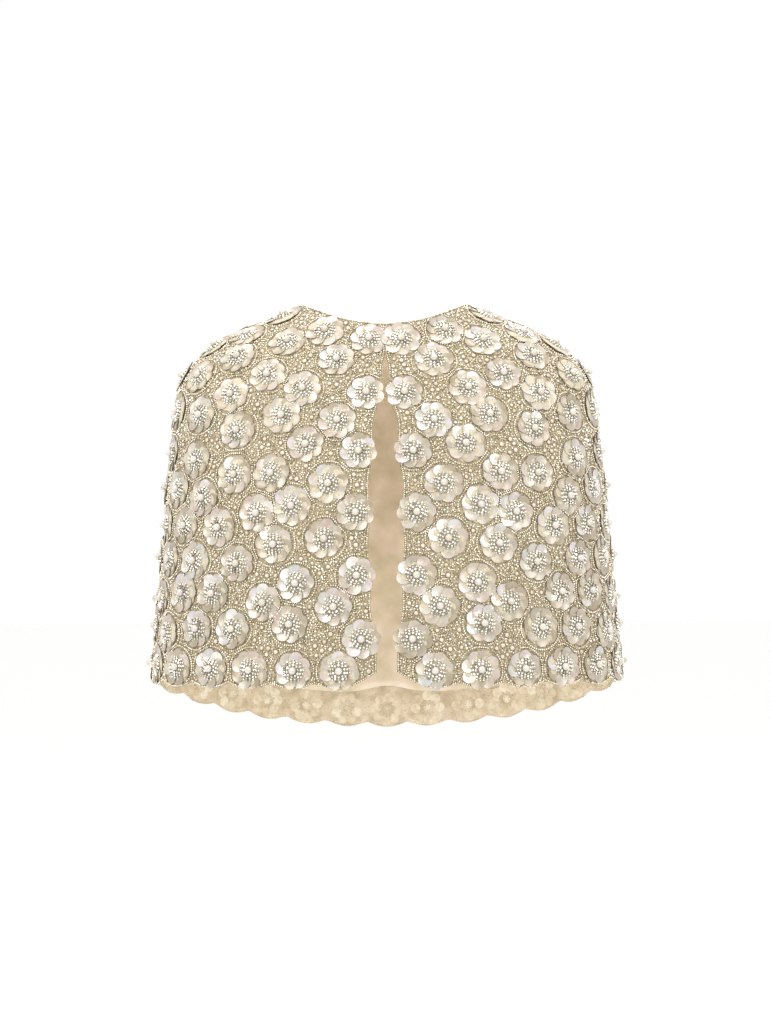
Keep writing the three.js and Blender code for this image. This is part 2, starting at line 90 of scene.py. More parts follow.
# Flowers in staggered rows, spread evenly, and then moved a little off their even places.
FLOWER_ROWS = 12
FIRST_ROW = 0.055
LAST_ROW = 0.955
FLOWER_AREA = 1900
HEM_FLOWER_STEP = 47
EDGE_FLOWER_IN = 14.5
NECK_FLOWER_IN = 16.5
FLOWER_SPACING = 46
SPREAD_TURNS = 40
SPREAD_PUSH = 0.3
FLOWER_LOOSE = 4.5
FLOWER_RADIUS = 18.6
FLOWER_RADIUS_MORE = 2.4
PETALS = 8

# The slit's wave, the hem's scallops and the corner that lifts towards the slit.
SLIT_WAVE = 1.2
SCALLOP_DEPTH = 6
CORNER_LIFT = 17
CORNER_REACH = 38
CORNER_CURVE = 1.3

# A flower's petals. Heights are over the cloth's outer face, and tilt, twist and looseness are in degrees.
PETAL_RADIUS = 6.9
PETAL_SIZES = (0.95, 1.06)
PETAL_OUT = 0.66
PETAL_OUT_LOOSE = 0.02
PETAL_HEIGHT = 1.2
PETAL_TILT = 2
PETAL_TWIST = 5.5
PETAL_LOOSE = 3.5
SEVEN_PETALS = 0.3
RIM_ANGLE = math.radians(40)
STITCH_RADIUS = 0.45
STITCH_IN = 0.45
STITCH_HEIGHT = 0.35

# The chance that a petal is painted bright, a painted highlight on its pearl coat. It grows towards the side
# that the light comes from, and with the whole flower's own painted glint, which has a middle and a spread.
PAINTED_GLINT_CHANCE = 0.14
PAINTED_GLINT_BY_SIDE = 0.55
PAINTED_GLINT_LIMITS = (0.04, 0.9)
PAINTED_GLINT_SIDE = (-0.75, 0.0, 0.65)
FLOWER_PAINTED_GLINT = (-0.1, 0.5)

# A flower's pad, setting, pearl and stones. Each ring of stones: how many, how far out, their radius and
# their height. They lean by a middle and a spread, in radians.
PAD_SHARE = 0.93
PAD_HEIGHT = 0.1
SETTING_RADIUS = 10.8
SETTING_HEIGHT = 2.0
PEARL_RADIUS = 3.9
PEARL_HEIGHT = 4.4
STONE_RINGS = ((10, 5.9, 1.75, 3.3), (14, 8.5, 1.5, 3.0), (18, 10.7, 1.2, 2.6))
STONE_SIZES = (0.9, 1.05)
STONE_LEAN = (-0.2, 0.22)
STONE_TWIST = (0, 0.22)

# Seed beads in ropes round the flowers and along the edges. A rope gives way to flowers that lie within
# ROPE_NEIGHBOURS of its own reach, and strung beads touch, so each keeps free only a share of its radius.
ROPE_RADIUS = 1.08
ROPE_HEIGHT = 1.3
ROPE_STEP = 2.35
ROPE_OFF_PETALS = 2.4
ROPE_NEIGHBOURS = 2.4
ROPE_GAP = 1.25
ROPE_ROOM = 1.1
ROPE_STRUNG = 0.92
ROPE_SHARES = (0.5, 1.0)
ROPE_IN = 2.5
EDGE_BEAD_RADIUS = 0.95
EDGE_BEAD_HEIGHT = 0.8
EDGE_BEAD_IN = 1.2
EDGE_BEAD_STRUNG = 0.98
EDGE_TRIES = 700

# What shows through the tulle on its wrong side: discs of petals and middles, and rings of thread knots, each
# how many and how far out.
GHOST_OUT = 0.15
GHOST_IN = 0.9
GHOST_PETAL = 5.7
GHOST_MIDDLE = 4.5
GHOST_KNOT = 0.55
GHOST_KNOTS = ((6, 3.2), (12, 8.5), (16, 21.5))
HEM_KNOT_ROOM = 1.3

# What fills the gaps between the ropes, in the order it is sewn: how often a place is tried, and the room
# that each one needs round its middle. It may lap over a petal's rim by part of that room.
SPOT_CUBE = 8.0
FILLING_OFF_PETALS = 0.8
FILLING_IN = 0.9
FILLING = {
    "cabochon": (9000, 2.8),
    "rosette": (12000, 3.2),
    "stone": (20000, 1.7),
    "bugle": (20000, 1.7),
    "seed": (380000, 1.06),
}
CABOCHON_RADII = (1.9, 2.6)
CABOCHON_HEIGHT = 0.6
CABOCHON_RIM = 0.45
RIM_HEIGHT = 0.5
ROSETTE_BEADS = 7
ROSETTE_RADIUS = 2.3
ROSETTE_MIDDLE = 1.15
GAP_STONE_RADII = (1.2, 1.8)
GAP_STONE_HEIGHT = 1.1
SEED_RADII = (0.9, 1.3)
SEED_HEIGHT = 0.8
BUGLE_SIZE = (0.7, 0.7, 2.2)


def column(name, down):
    """A column of the sections at shares of the way down, on a smooth curve through the rows."""
    rows = SECTIONS[:, COLUMNS.index(name)]
    rows = np.concatenate(([2 * rows[0] - rows[1]], rows, [2 * rows[-1] - rows[-2]]))
    place = np.clip(down, 0, 1) * (len(SECTIONS) - 1)
    i = np.minimum(np.asarray(place, dtype=int), len(SECTIONS) - 2)
    u = place - i
    a, b, c, d = (rows[i + k] for k in range(4))
    curve = (2 * a - 5 * b + 4 * c - d) * u**2 + (3 * b - a - 3 * c + d) * u**3
    return (2 * b + (c - a) * u + curve) / 2


def fold_out(angle, down):
    """How far the soft folds push the cloth out."""
    turned = np.arcsin(np.sin(angle))
    out = 0
    for middle, spread, hem_out, start in FOLDS:
        across = (turned - math.radians(middle)) / math.radians(spread)
        out = out + hem_out * np.exp(-(across**2)) * np.clip((down - start) / (1 - start), 0, 1) ** 1.5
    return out


def cloth(angle, down, off=0.0):
    """Points of the cloth's outer face, moved out by off. The angle is 0 at the left seam, 90 behind."""
    angle, down = np.broadcast_arrays(np.asarray(angle, dtype=float), np.asarray(down, dtype=float))
    cos, sin = np.cos(angle), np.sin(angle)
    ahead = sin < 0
    depth = np.where(ahead, column("front", down), column("back", down))
    middle_z = np.where(ahead, column("front_z", down), column("back_z", down))
    side_z = column("side_z", down)
    out = fold_out(angle, down)
    power = np.where(ahead, NECK_POWER, NECK_POWER + (BACK_HEM_POWER - NECK_POWER) * np.clip(down, 0, 1))
    z = side_z + (middle_z - side_z) * np.abs(sin) ** power
    points = np.stack([(column("side", down) + out) * cos, (depth + out) * sin, z], axis=-1)
    if np.isscalar(off) and off == 0:
        return points
    return points + outward(angle, down) * np.asarray(off)[..., None]


def slopes(angle, down):
    """The directions round the body and down the cloth, per radian and per whole way down."""
    step = 0.004
    high, low = np.minimum(down + step, 1), np.maximum(down - step, 0)
    round_body = (cloth(angle + step, down) - cloth(angle - step, down)) / (2 * step)
    fall = (cloth(angle, high) - cloth(angle, low)) / (high - low)[..., None]
    return round_body, fall


def unit(vectors):
    return vectors / np.linalg.norm(vectors, axis=-1, keepdims=True)


def outward(angle, down):
    round_body, fall = slopes(angle, down)
    return unit(np.cross(fall, round_body))


def dots(a, b):
    return (a * b).sum(axis=-1)


def stepped(angle, down, step):
    """The places on the cloth that lie a small step away."""
    round_body, fall = slopes(angle, down)
    rr, rf, ff = dots(round_body, round_body), dots(round_body, fall), dots(fall, fall)
    r, f = dots(step, round_body), dots(step, fall)
    size = rr * ff - rf * rf
    return angle + (r * ff - f * rf) / size, down + (f * rr - r * rf) / size


# Distances round the left half, from the middle of the front to the middle of the back, at many heights.
ARC_DOWN = np.linspace(0, 1, 41)
ARC_ANGLE = np.linspace(-QUARTER, QUARTER, 61)
ring_points = cloth(ARC_ANGLE[None, :], ARC_DOWN[:, None])
ring_steps = np.linalg.norm(np.diff(ring_points, axis=1), axis=-1)
ARCS = np.concatenate([np.zeros((len(ARC_DOWN), 1)), np.cumsum(ring_steps, axis=1)], axis=1)


def arc_at(angle, down):
    """Distance round the cloth from the middle of the front."""
    row = np.clip(down, 0, 1) * (len(ARC_DOWN) - 1)
    turn = np.clip((angle + QUARTER) / math.pi, 0, 1) * (len(ARC_ANGLE) - 1)
    j = np.minimum(np.asarray(row, dtype=int), len(ARC_DOWN) - 2)
    i = np.minimum(np.asarray(turn, dtype=int), len(ARC_ANGLE) - 2)
    a, b = turn - i, row - j
    above = ARCS[j, i] * (1 - a) + ARCS[j, i + 1] * a
    below = ARCS[j + 1, i] * (1 - a) + ARCS[j + 1, i + 1] * a
    return above * (1 - b) + below * b


def length_of(across, height):
    steps = np.diff(SECTIONS[:, [COLUMNS.index(across), COLUMNS.index(height)]], axis=0)
    return np.linalg.norm(steps, axis=1).sum()


SIDE_LENGTH = length_of("side", "side_z")
FRONT_LENGTH = length_of("front", "front_z")
BACK_LENGTH = length_of("back", "back_z")


def fall_length(angle):
    """Length of the cloth from the neckline to the hem."""
    middle = np.where(np.sin(angle) < 0, FRONT_LENGTH, BACK_LENGTH)
    return SIDE_LENGTH + (middle - SIDE_LENGTH) * np.sin(angle) ** 2


def front_angle(x, down):
    """The angle at a distance x from the middle of the front, on the left."""
    return -np.arccos(np.clip(x / column("side", down), -1, 1))


def slit_half(down):
    """Half the width of the slit. Its edges wave: in towards each flower beside it, and out between two."""
    rows = (down - FIRST_ROW) / (LAST_ROW - FIRST_ROW) * (FLOWER_ROWS - 1)
    return np.maximum(SEAM_GAP / 2, column("slit", down) - SLIT_WAVE * np.cos(math.pi * rows))


def flower_in(down):
    """How far the first flower of a row is from the middle of the front."""
    return np.maximum(NECK_FLOWER_IN, slit_half(down) + EDGE_FLOWER_IN)


def row_angles(down, share_of, each_share, offset):
    """Angles of a row's flowers, with equal shares of the cloth between them."""
    turns = 90
    angles = np.linspace(front_angle(flower_in(down), down), QUARTER, turns + 1)
    steps = np.diff(arc_at(angles, down)) * share_of(angles[1:])
    shares = np.concatenate([[0], np.cumsum(steps)])
    count = round(shares[-1] / each_share - 0.5)
    step = shares[-1] / (count + 0.5)
    return np.interp(np.minimum((np.arange(count + 1) + offset) * step, shares[-1]), shares, angles)


def starting_flowers():
    """Rows of flowers on the left half, as angle, share of the way down, and whether it keeps its place."""
    flowers = []
    row_share = (LAST_ROW - FIRST_ROW) / (FLOWER_ROWS - 1)
    for row in range(FLOWER_ROWS):
        down = FIRST_ROW + (LAST_ROW - FIRST_ROW) * row / (FLOWER_ROWS - 1)
        hem = row == FLOWER_ROWS - 1
        offset = 0.5 if row % 2 else 0
        if hem:
            angles = row_angles(down, lambda angle: np.ones_like(angle), HEM_FLOWER_STEP, offset)
        else:
            angles = row_angles(down, lambda angle: fall_length(angle) * row_share, FLOWER_AREA, offset)
        for n, angle in enumerate(angles):
            at_slit = offset == 0 and n == 0
            behind = offset > 0 and n == len(angles) - 1
            flowers.append((angle, down, hem or at_slit or behind))
    return np.array(flowers)


def spread_flowers(flowers):
    """Flowers that are too close push each other apart along the cloth."""
    angle, down, still = flowers.T
    free = still == 0
    myself = np.eye(len(angle), dtype=bool)
    for _ in range(SPREAD_TURNS):
        at = cloth(angle, down)
        move = np.zeros_like(at)
        for others, skip in ((at, myself), (at * (-1, 1, 1), np.zeros_like(myself))):
            away = at[:, None] - others[None]
            far = np.linalg.norm(away, axis=-1)
            near = ~skip & (far <= FLOWER_SPACING) & (far >= 1)
            push = np.where(near, SPREAD_PUSH * (FLOWER_SPACING - far) / np.where(near, far, 1), 0)
            move += (away * push[..., None]).sum(axis=1)
        angle, down = moved_flowers(angle, down, free, move)
    return angle, down, free


def moved_flowers(angle, down, free, step):
    """Moves the free flowers by steps along the cloth, but not past the neck's row, the hem's, the slit's
    flowers or the middle of the back."""
    new_angle, new_down = stepped(angle, down, step)
    held_down = np.clip(new_down, FIRST_ROW, LAST_ROW)
    held_angle = np.clip(new_angle, front_angle(flower_in(new_down), held_down), QUARTER)
    return np.where(free, held_angle, angle), np.where(free, held_down, down)


def varied(index, salt):
    """A number from 0 to 1 for each index, scattered but the same on each run."""
    wave = np.sin(index * 127.1 + salt * 311.7) * 43758.5453
    return wave - np.floor(wave)


def loosened(angle, down, free):
    """Flowers off their even places by up to FLOWER_LOOSE each way."""
    number = np.arange(len(angle))
    round_body, fall = slopes(angle, down)
    step = unit(round_body) * (FLOWER_LOOSE * (2 * varied(number, 4) - 1))[:, None]
    step = step + unit(fall) * (FLOWER_LOOSE * (2 * varied(number, 5) - 1))[:, None]
    return moved_flowers(angle, down, free, step)


HEM_START = arc_at(front_angle(flower_in(LAST_ROW), LAST_ROW), LAST_ROW)


def hem_down(angle):
    """The share of the way down at which the cloth ends, at angles on the left half or the back."""
    turned = np.where(angle <= QUARTER, angle, math.pi - angle)
    arc = arc_at(turned, LAST_ROW)
    whole = arc_at(QUARTER, LAST_ROW) - HEM_START
    step = whole / (round(whole / HEM_FLOWER_STEP - 0.5) + 0.5)
    along = (arc - HEM_START) / step - 0.5
    scallop = SCALLOP_DEPTH * (1 - np.cos(math.pi * (along - np.floor(along + 0.5))))
    from_slit = np.clip(1 - (arc - slit_half(1)) / CORNER_REACH, 0, 1)
    corner = CORNER_LIFT * from_slit**CORNER_CURVE
    return 1 - np.maximum(scallop * (1 - from_slit), corner) / fall_length(turned)


# The panels, by the angles of their two edges at a share of the way down. The right front is the left
# one mirrored.
def seam_turn(down):
    return SEAM_GAP / 2 / column("back", down)


PANELS = {
    "front_left": (lambda down: front_angle(slit_half(down), down), lambda down: -seam_turn(down), 1),
    "front_right": (lambda down: front_angle(slit_half(down), down), lambda down: -seam_turn(down), -1),
    "back": (seam_turn, lambda down: math.pi - seam_turn(down), 1),
}


def grid_places(panel, across, along, last_down=None):
    """A grid of places over a panel, from the neckline to the hem or to another share of the way down."""
    start, end, _ = PANELS[panel]
    s = np.linspace(0, 1, across + 1)[None, :]
    t = np.linspace(0, 1, along + 1)[:, None]
    hem_angle = start(1.0) + (end(1.0) - start(1.0)) * s
    down = t * (hem_down(hem_angle) if last_down is None else last_down(hem_angle))
    return start(down) + (end(down) - start(down)) * s, down


def inside_panel(panel, angle, down, margin):
    """Which places lie on a panel, at least a margin inside its edges."""
    start, end, _ = PANELS[panel]
    turn = margin / (arc_at(QUARTER, np.clip(down, 0, 1)) / math.pi)
    on = (angle > start(down) + turn) & (angle < end(down) - turn)
    return on & (down > margin / SIDE_LENGTH) & (down < hem_down(angle) - margin / SIDE_LENGTH)


def srgb(code):
    """An sRGB hex colour as linear red, green, blue and alpha."""
    parts = [int(code[i : i + 2], 16) / 255 for i in (1, 3, 5)]
    return (*(c / 12.92 if c <= 0.04045 else ((c + 0.055) / 1.055) ** 2.4 for c in parts), 1.0)


def add(tree, kind, inputs=None, **settings):
    """Adds a node with its settings, and sets or links its inputs."""
    made = tree.nodes.new(kind)
    for name, value in settings.items():
        setattr(made, name, value)
    for name, value in (inputs or {}).items():
        if isinstance(value, bpy.types.NodeSocket):
            tree.links.new(value, made.inputs[name])
        else:
            made.inputs[name].default_value = value
    return made


def ramp(tree, factor, stops):
    """A colour ramp over hex colours at their positions."""
    made = add(tree, "ShaderNodeValToRGB", {"Fac": factor})
    colours = made.color_ramp.elements
    while len(colours) < len(stops):
        colours.new(0.5)
    for element, (position, code) in zip(colours, stops):
        element.position = position
        element.color = srgb(code)
    return made.outputs["Color"]


def finish_of(name, **sockets):
    """A new material with a Principled shader: its node tree and the shader."""
    material = bpy.data.materials.new(name)
    material.use_nodes = True
    tree = material.node_tree
    tree.nodes.clear()
    shader = add(tree, "ShaderNodeBsdfPrincipled", {k.replace("_", " "): v for k, v in sockets.items()})
    add(tree, "ShaderNodeOutputMaterial", {"Surface": shader.outputs["BSDF"]})
    return material, tree, shader


def per_mm(size):
    """A texture's scale for cells or ripples of a size in millimetres."""
    return 1 / (size * MM)


def bump(tree, shader, height, depth_mm):
    made = add(tree, "ShaderNodeBump", {"Height": height, "Distance": depth_mm * MM, "Strength": 1.0})
    tree.links.new(made.outputs["Normal"], shader.inputs["Normal"])


def by_piece(tree, shader, stops, cloud_mm=None):
    """Gives each loose piece of a mesh its own tone from a ramp, and clouds it a little if asked to."""
    tones = ramp(tree, add(tree, "ShaderNodeNewGeometry").outputs["Random Per Island"], stops)
    if cloud_mm:
        place = add(tree, "ShaderNodeTexCoord").outputs["Object"]
        cloud = add(tree, "ShaderNodeTexNoise", {"Vector": place, "Scale": per_mm(cloud_mm), "Detail": 2.0})
        shade = ramp(tree, cloud.outputs["Fac"], [(0.35, "#DDD1BE"), (0.65, "#FFFFFF")])
        mixed = add(
            tree, "ShaderNodeMix", {0: 0.6, 6: tones, 7: shade}, data_type="RGBA", blend_type="MULTIPLY"
        )
        tones = mixed.outputs[2]
    tree.links.new(tones, shader.inputs["Base Color"])


def pearl_sequin():
    """PET film with a pearl coat, stamped to cups: ivory to beige from piece to piece. The real film is a
    little see-through; here it is drawn opaque."""
    material, tree, shader = finish_of(
        "pearl_sequin", Roughness=0.34, Metallic=0.2, Coat_Weight=0.35, Coat_Roughness=0.15, IOR=1.57
    )
    by_piece(tree, shader, [
        (0.0, "#978C78"), (0.2, "#A49A8A"), (0.42, "#AEA598"), (0.6, "#B0A29A"), (0.75, "#B7B0A6"),
        (0.9, "#A19B91"), (1.0, "#99907C"),
    ], cloud_mm=9)
    return material


def painted_glint_pearl_sequin():
    """The same film with a painted highlight, as if its coat threw the light back: white, with a lilac, rosy
    or cold cast.
    """
    material, tree, shader = finish_of(
        "painted_glint_pearl_sequin", Roughness=0.28, Metallic=0.25, Coat_Weight=0.6, Coat_Roughness=0.1, IOR=1.57
    )
    by_piece(tree, shader, [
        (0.0, "#B8B3A7"), (0.25, "#BEB7B9"), (0.45, "#BCB6AA"), (0.65, "#B4B6B6"), (0.8, "#DAD6D3"),
        (1.0, "#B9B3B8"),
    ], cloud_mm=7)
    return material


def glass_pearl():
    """Glass beads dipped in pearl lacquer: milky, with a sharp small light on a soft body."""
    material, tree, shader = finish_of(
        "glass_pearl", Roughness=0.22, Coat_Weight=0.8, Coat_Roughness=0.06, Subsurface_Weight=0.15,
        Subsurface_Scale=0.002, IOR=1.55,
    )
    by_piece(tree, shader, [(0.0, "#B2A898"), (0.5, "#C0B8AB"), (1.0, "#BAAFAA")])
    return material


def foiled_crystal():
    """Cut lead glass with silver foil behind. Each stone's tone is drawn at random from grey to near white: a
    painted flash on the white ones and painted shade on the grey ones, over the real light off its facets.
    """
    material, tree, shader = finish_of("foiled_crystal", Roughness=0.14, Metallic=0.6, IOR=1.62)
    # Painted glints: the ramp's white end is a painted flash, its grey end painted shade.
    by_piece(tree, shader, [
        (0.0, "#8E8777"), (0.12, "#C2BBAD"), (0.4, "#DCD6CA"), (0.7, "#EBE7DE"), (1.0, "#F9F7F3"),
    ])
    return material


def rose_glass():
    """Flat-backed moulded glass, rosy beige and cloudy, with a soft light on its dome."""
    material, tree, shader = finish_of(
        "rose_glass", Roughness=0.2, Coat_Weight=0.6, Coat_Roughness=0.08, Subsurface_Weight=0.2,
        Subsurface_Scale=0.001, IOR=1.5,
    )
    by_piece(tree, shader, [(0.0, "#B5A08A"), (0.35, "#C6B4A0"), (0.7, "#CDBDAE"), (1.0, "#B9A888")])
    return material


def silver_and_painted_gap_shade():
    """The stones' settings and the cabochons' rims: stamped silver, dark grey in a fine noisy grain. Under
    the stones this dark grey is partly the silver's own colour and partly painted shade in the gaps between
    the stones.
    """
    material, tree, shader = finish_of("silver_and_painted_gap_shade", Roughness=0.45, Metallic=0.6)
    place = add(tree, "ShaderNodeTexCoord").outputs["Object"]
    grain = add(tree, "ShaderNodeTexNoise", {"Vector": place, "Scale": per_mm(1.5), "Detail": 3.0})
    tones = ramp(tree, grain.outputs["Fac"], [(0.35, "#7E7765"), (0.7, "#A8A18F")])
    tree.links.new(tones, shader.inputs["Base Color"])
    return material


def gold_seed_bead():
    """Glass seed beads lined with pale gold: champagne from dark to light, with one small light each."""
    material, tree, shader = finish_of(
        "gold_seed_bead", Roughness=0.25, Metallic=0.35, Coat_Weight=0.5, Coat_Roughness=0.1, IOR=1.52
    )
    by_piece(tree, shader, [
        (0.0, "#877B61"), (0.15, "#B6AA8D"), (0.5, "#D9CFB7"), (0.8, "#F3EDDF"), (1.0, "#DECBB8"),
    ])
    return material


def rope_seed_bead():
    """The paler beads of the ropes and edges, strung before they are couched down."""
    material, tree, shader = finish_of(
        "rope_seed_bead", Roughness=0.25, Metallic=0.35, Coat_Weight=0.5, Coat_Roughness=0.1, IOR=1.52
    )
    by_piece(tree, shader, [(0.0, "#978566"), (0.25, "#CBBC9F"), (0.65, "#E8DDC8"), (1.0, "#F9F4E8")])
    return material


def pad_felt():
    """Cream felt in a low pad under each flower, which fills the shadow below its petals."""
    material, tree, shader = finish_of("pad_felt", Roughness=0.9, Sheen_Weight=0.2)
    place = add(tree, "ShaderNodeTexCoord").outputs["Object"]
    fuzz = add(tree, "ShaderNodeTexNoise", {"Vector": place, "Scale": per_mm(1.2), "Detail": 2.0})
    tones = ramp(tree, fuzz.outputs["Fac"], [(0.3, "#A69B82"), (0.7, "#C0B59D")])
    tree.links.new(tones, shader.inputs["Base Color"])
    return material


def stitch_thread():
    """Waxed polyester thread, golden brown: small matte dots where a piece is sewn down."""
    material, tree, shader = finish_of("stitch_thread", Roughness=0.7)
    by_piece(tree, shader, [(0.0, "#8D7C58"), (1.0, "#B29F77")])
    return material


def beaded_tulle():
    """Champagne nylon tulle over a flesh one, drawn dark olive: partly its own colour and partly painted
    shade, as it shows only in the gaps between the beads. The real net has 1 mm holes. It is drawn at 1.6 mm,
    so that it shows, with darker holes that are painted shade."""
    material, tree, shader = finish_of("beaded_tulle", Roughness=0.6, Sheen_Weight=0.1)
    place = add(tree, "ShaderNodeTexCoord").outputs["Object"]
    net = add(tree, "ShaderNodeTexVoronoi", {"Vector": place, "Scale": per_mm(1.6)}, feature="F1")
    # The dark end of the ramp, in the net's holes, is painted shade.
    tones = ramp(tree, net.outputs["Distance"], [(0.15, "#5E543F"), (0.45, "#8A7E62"), (0.7, "#AFA182")])
    tree.links.new(tones, shader.inputs["Base Color"])
    bump(tree, shader, net.outputs["Distance"], 0.4)
    return material


def tulle_wrong_side():
    """The back of the tulle: pale threads and glue over everything, matte, in cloudy patches."""
    material, tree, shader = finish_of("tulle_wrong_side", Roughness=0.75, Sheen_Weight=0.2)
    place = add(tree, "ShaderNodeTexCoord").outputs["Object"]
    patches = add(tree, "ShaderNodeTexNoise", {"Vector": place, "Scale": per_mm(16), "Detail": 5.0})
    tones = ramp(tree, patches.outputs["Fac"], [(0.3, "#B7A587"), (0.5, "#CDBC9F"), (0.7, "#DED0B8")])
    tree.links.new(tones, shader.inputs["Base Color"])
    net = add(tree, "ShaderNodeTexVoronoi", {"Vector": place, "Scale": per_mm(1.8)}, feature="F1")
    bump(tree, shader, net.outputs["Distance"], 0.4)
    return material


def petal_wrong_side():
    """The petals as they show through the tulle from behind: paler discs, matte."""
    material, tree, shader = finish_of("petal_wrong_side", Roughness=0.6, Sheen_Weight=0.2)
    by_piece(tree, shader, [(0.0, "#D2C3A7"), (0.5, "#DFD3B9"), (1.0, "#EAE0CB")], cloud_mm=5)
    return material


def nude_lining():
    """Soft nude lining, matte polyester: cloudy patches, slightly rosy, and a fine weave. The weave is drawn
    at 0.8 mm, coarser than the real one, so that it shows."""
    material, tree, shader = finish_of("nude_lining", Roughness=0.8, Sheen_Weight=0.15, Sheen_Roughness=0.5)
    place = add(tree, "ShaderNodeTexCoord").outputs["Object"]
    patches = add(tree, "ShaderNodeTexNoise", {"Vector": place, "Scale": per_mm(26), "Detail": 4.0})
    tones = ramp(tree, patches.outputs["Fac"], [
        (0.3, "#C4B498"), (0.48, "#D2C3A8"), (0.58, "#DBC8B3"), (0.72, "#E1D4BE"),
    ])
    tree.links.new(tones, shader.inputs["Base Color"])
    weave = add(tree, "ShaderNodeTexNoise", {"Vector": place, "Scale": per_mm(0.8), "Detail": 1.0})
    bump(tree, shader, weave.outputs["Fac"], 0.1)
    return material


def plated_wire():
    """Steel wire with a warm plating, drawn and bent: smooth, with a long light."""
    material, tree, shader = finish_of("plated_wire", Roughness=0.3, Metallic=1.0)
    place = add(tree, "ShaderNodeTexCoord").outputs["Object"]
    wear = add(tree, "ShaderNodeTexNoise", {"Vector": place, "Scale": per_mm(2), "Detail": 2.0})
    tones = ramp(tree, wear.outputs["Fac"], [(0.3, "#B9B09A"), (0.7, "#D8D2C2")])
    tree.links.new(tones, shader.inputs["Base Color"])
    return material


def turned(profile, sides):
    """A closed shape turned about Z from a profile that starts at its lowest point on the axis and ends at
    its highest: points, and triangles that face out."""
    turn = np.arange(sides) / sides * TURN
    middle = profile[1:-1]
    rings = [np.stack([r * np.cos(turn), r * np.sin(turn), np.full(sides, z)], axis=1) for r, z in middle]
    points = np.vstack([[(0, 0, profile[0][1])], *rings, [(0, 0, profile[-1][1])]])
    here = np.arange(sides)
    after = (here + 1) % sides
    top = len(points) - 1
    faces = [np.stack([np.zeros(sides, int), 1 + after, 1 + here], axis=1)]
    for ring in range(len(middle) - 1):
        low, high = 1 + ring * sides, 1 + (ring + 1) * sides
        faces.append(np.stack([low + here, low + after, high + after], axis=1))
        faces.append(np.stack([low + here, high + after, high + here], axis=1))
    last = 1 + (len(middle) - 1) * sides
    faces.append(np.stack([last + here, last + after, np.full(sides, top)], axis=1))
    return points, np.vstack(faces)


def ball(sides, rings):
    turn = np.linspace(-QUARTER, QUARTER, rings + 1)
    return turned(list(zip(np.cos(turn), np.sin(turn))), sides)


# Shapes of radius 1, turned on a small number of sides. Most are only a pixel or two across.
SEQUIN = turned([(0, -0.04), (0.96, 0.05), (1.0, 0.11), (0.62, 0.02), (0, 0.0)], 12)
DISC = turned([(0, -0.03), (1.0, 0.0), (0, 0.03)], 10)
SETTING = turned([(0, -0.04), (1.0, -0.04), (0.7, 0.03), (0, 0.08)], 14)
PAD = turned([(0, -0.02), (1.0, 0.0), (0.8, 0.05), (0, 0.09)], 16)
PEARL = ball(10, 6)
BEAD = ball(4, 3)
STONE = turned([(0, -0.8), (1.0, 0.0), (0.55, 0.6), (0, 0.7)], 4)
CABOCHON = turned([(0, -0.05), (1.0, 0.0), (0.72, 0.36), (0, 0.5)], 8)
RIM = turned([(0, -0.06), (1.0, -0.04), (0.85, 0.08), (0, 0.08)], 8)
KNOT = ball(4, 2)
BUGLE = turned([(0, -1), (1.0, -1), (1.0, 1), (0, 1)], 5)


def together(parts):
    """Several shapes, each its points and faces, as one."""
    first = np.concatenate([[0], np.cumsum([len(points) for points, _ in parts])])
    return np.vstack([p for p, _ in parts]), np.vstack([f + start for (_, f), start in zip(parts, first)])


def stamped(shape, origins, axes, sizes):
    """Copies of a shape at origins, with axes as rows of three vectors and a size along each."""
    points, faces = shape
    sizes = np.broadcast_to(sizes, origins.shape)
    copies = np.einsum("nks,nsd->nkd", points[None] * sizes[:, None], axes) + origins[:, None]
    numbered = faces[None] + len(points) * np.arange(len(origins))[:, None, None]
    return copies.reshape(-1, 3), numbered.reshape(-1, 3)


def piece(name, points, faces, materials, smooth=True, which=None, sharp_rims=False):
    """A mesh from points in millimetres and faces of equal sides, riding on the part's one body. It has one
    material, or a tuple of them and which one each face takes. Thin discs have sharp rims, so that a rim
    seen edge-on isn't shaded as if it were round."""
    mesh = bpy.data.meshes.new(name)
    mesh.vertices.add(len(points))
    mesh.vertices.foreach_set("co", (points * MM).astype(np.float32).ravel())
    mesh.loops.add(faces.size)
    mesh.loops.foreach_set("vertex_index", faces.astype(np.int32).ravel())
    mesh.polygons.add(len(faces))
    mesh.polygons.foreach_set("loop_start", np.arange(0, faces.size, faces.shape[1], dtype=np.int32))
    mesh.polygons.foreach_set("use_smooth", np.full(len(faces), smooth))
    mesh.update(calc_edges=True)
    if sharp_rims:
        mesh.set_sharp_from_angle(angle=RIM_ANGLE)
    for material in materials if isinstance(materials, tuple) else (materials,):
        mesh.materials.append(material)
    if which is not None:
        mesh.polygons.foreach_set("material_index", np.asarray(which, dtype=np.int32))
    made = bpy.data.objects.new(name, mesh)
    bpy.context.scene.collection.objects.link(made)
    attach(made, "root")
    return made


def wall_between(outer, inner):
    """A closed wall between two grids of points of the same size: points and quads that face out."""
    rows, columns = outer.shape[:2]
    points = np.vstack([outer.reshape(-1, 3), inner.reshape(-1, 3)])
    number = np.arange(rows * columns).reshape(rows, columns)
    a, b, c, d = number[:-1, :-1], number[:-1, 1:], number[1:, 1:], number[1:, :-1]
    front = np.stack([a, d, c, b], axis=-1).reshape(-1, 4)
    behind = np.stack([a, b, c, d], axis=-1).reshape(-1, 4) + rows * columns
    edge = np.concatenate([number[0, :-1], number[:-1, -1], number[-1, :0:-1], number[:0:-1, 0]])
    after = np.roll(edge, -1)
    rim = np.stack([edge, after, after + rows * columns, edge + rows * columns], axis=1)
    return points, np.vstack([front, behind, rim])


def mirrored_piece(points, faces, side):
    """Points and faces as they are, or on the other side of the body."""
    return (points, faces) if side > 0 else (points * (-1, 1, 1), faces[:, ::-1])


